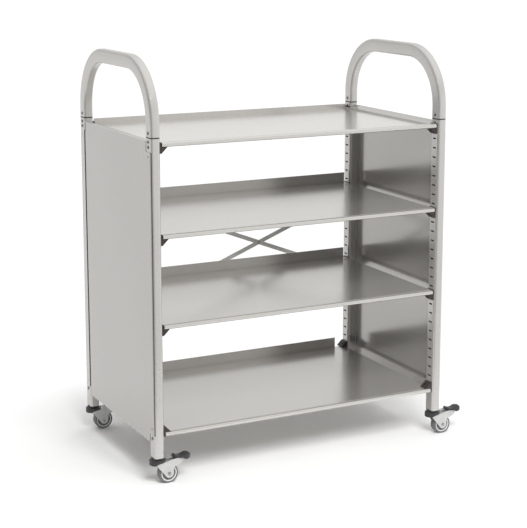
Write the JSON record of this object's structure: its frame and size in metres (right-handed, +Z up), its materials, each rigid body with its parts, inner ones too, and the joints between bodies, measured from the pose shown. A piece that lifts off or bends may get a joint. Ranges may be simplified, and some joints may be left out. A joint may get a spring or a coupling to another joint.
{
  "type": "mobile shelving unit",
  "caption": "Open shelving trolley with folded metal shelves between panelled end frames, push handle loops, a rear cross brace and braked swivel castors.",
  "frame": {"origin": "on the floor, below the middle of the whole unit with its castors at rest", "axes": "+X to the right along the shelves, +Y from the open front to the braced back, +Z up"},
  "size_m": [0.9236, 0.5019, 1.06],
  "materials": {
    "tube": "satin silver",
    "panel": "satin light grey paint",
    "shelf": "semi-gloss light grey paint",
    "bracket": "satin black",
    "joint_ring": "matte black",
    "black_plastic": "satin black",
    "screw": "satin",
    "zinc": "bright zinc plate",
    "brace_bar": "satin silver",
    "hub": "moulded grey",
    "tyre": "matt dark grey",
    "pedal": "satin black"
  },
  "bodies": {
    "cabinet": {"left_handle": "tube", "right_handle": "tube", "front_left_upright": "tube", "front_right_upright": "tube", "rear_left_upright": "tube", "rear_right_upright": "tube", "joint_spigots": "screw", "joint_rings": "joint_ring", "joint_bolts": "screw", "frame_screws": "screw", "left_panel": "panel", "right_panel": "panel", "panel_clips": "screw", "panel_rivets": "screw", "top_shelf": "shelf", "upper_shelf": "shelf", "middle_shelf": "shelf", "bottom_shelf": "shelf", "top_shelf_brackets": "bracket", "upper_shelf_brackets": "bracket", "middle_shelf_brackets": "bracket", "bottom_shelf_brackets": "bracket", "bracket_screws": "screw", "brace_falling_bar": "brace_bar", "brace_rising_bar": "brace_bar", "brace_centre_rivet": "screw", "brace_end_bolts": "screw", "brace_spacers": "screw", "upright_plugs": "black_plastic", "castor_stems": "zinc"},
    "front_left_swivel": {"front_left_fork": "zinc", "front_left_collar": "black_plastic", "front_left_axle": "screw", "front_left_pedal_pin": "screw"},
    "front_left_wheel": {"front_left_hub": "hub", "front_left_tyre": "tyre"},
    "front_left_pedal": {"front_left_brake_pedal": "pedal"},
    "front_right_swivel": {"front_right_fork": "zinc", "front_right_collar": "black_plastic", "front_right_axle": "screw", "front_right_pedal_pin": "screw"},
    "front_right_wheel": {"front_right_hub": "hub", "front_right_tyre": "tyre"},
    "front_right_pedal": {"front_right_brake_pedal": "pedal"},
    "rear_left_swivel": {"rear_left_fork": "zinc", "rear_left_collar": "black_plastic", "rear_left_axle": "screw", "rear_left_pedal_pin": "screw"},
    "rear_left_wheel": {"rear_left_hub": "hub", "rear_left_tyre": "tyre"},
    "rear_left_pedal": {"rear_left_brake_pedal": "pedal"},
    "rear_right_swivel": {"rear_right_fork": "zinc", "rear_right_collar": "black_plastic", "rear_right_axle": "screw", "rear_right_pedal_pin": "screw"},
    "rear_right_wheel": {"rear_right_hub": "hub", "rear_right_tyre": "tyre"},
    "rear_right_pedal": {"rear_right_brake_pedal": "pedal"}
  },
  "joints": [
    {"name": "front_left_swivel_turn", "type": "hinge", "parent": "cabinet", "child": "front_left_swivel", "pos_m": [-0.44125, -0.23045, 0.06], "axis": [0, 0, 1], "continuous": true},
    {"name": "front_left_wheel_spin", "type": "hinge", "parent": "front_left_swivel", "child": "front_left_wheel", "pos_m": [-0.41425, -0.23045, 0.025], "axis": [0, 1, 0], "continuous": true},
    {"name": "front_left_brake", "type": "hinge", "parent": "front_left_swivel", "child": "front_left_pedal", "pos_m": [-0.37925, -0.23045, 0.0585], "axis": [0, 1, 0], "range_deg": [0, 12]},
    {"name": "front_right_swivel_turn", "type": "hinge", "parent": "cabinet", "child": "front_right_swivel", "pos_m": [0.37375, -0.23045, 0.06], "axis": [0, 0, 1], "continuous": true},
    {"name": "front_right_wheel_spin", "type": "hinge", "parent": "front_right_swivel", "child": "front_right_wheel", "pos_m": [0.40075, -0.23045, 0.025], "axis": [0, 1, 0], "continuous": true},
    {"name": "front_right_brake", "type": "hinge", "parent": "front_right_swivel", "child": "front_right_pedal", "pos_m": [0.43575, -0.23045, 0.0585], "axis": [0, 1, 0], "range_deg": [0, 12]},
    {"name": "rear_left_swivel_turn", "type": "hinge", "parent": "cabinet", "child": "rear_left_swivel", "pos_m": [-0.44125, 0.22655, 0.06], "axis": [0, 0, 1], "continuous": true},
    {"name": "rear_left_wheel_spin", "type": "hinge", "parent": "rear_left_swivel", "child": "rear_left_wheel", "pos_m": [-0.41425, 0.22655, 0.025], "axis": [0, 1, 0], "continuous": true},
    {"name": "rear_left_brake", "type": "hinge", "parent": "rear_left_swivel", "child": "rear_left_pedal", "pos_m": [-0.37925, 0.22655, 0.0585], "axis": [0, 1, 0], "range_deg": [0, 12]},
    {"name": "rear_right_swivel_turn", "type": "hinge", "parent": "cabinet", "child": "rear_right_swivel", "pos_m": [0.37375, 0.22655, 0.06], "axis": [0, 0, 1], "continuous": true},
    {"name": "rear_right_wheel_spin", "type": "hinge", "parent": "rear_right_swivel", "child": "rear_right_wheel", "pos_m": [0.40075, 0.22655, 0.025], "axis": [0, 1, 0], "continuous": true},
    {"name": "rear_right_brake", "type": "hinge", "parent": "rear_right_swivel", "child": "rear_right_pedal", "pos_m": [0.43575, 0.22655, 0.0585], "axis": [0, 1, 0], "range_deg": [0, 12]}
  ]
}
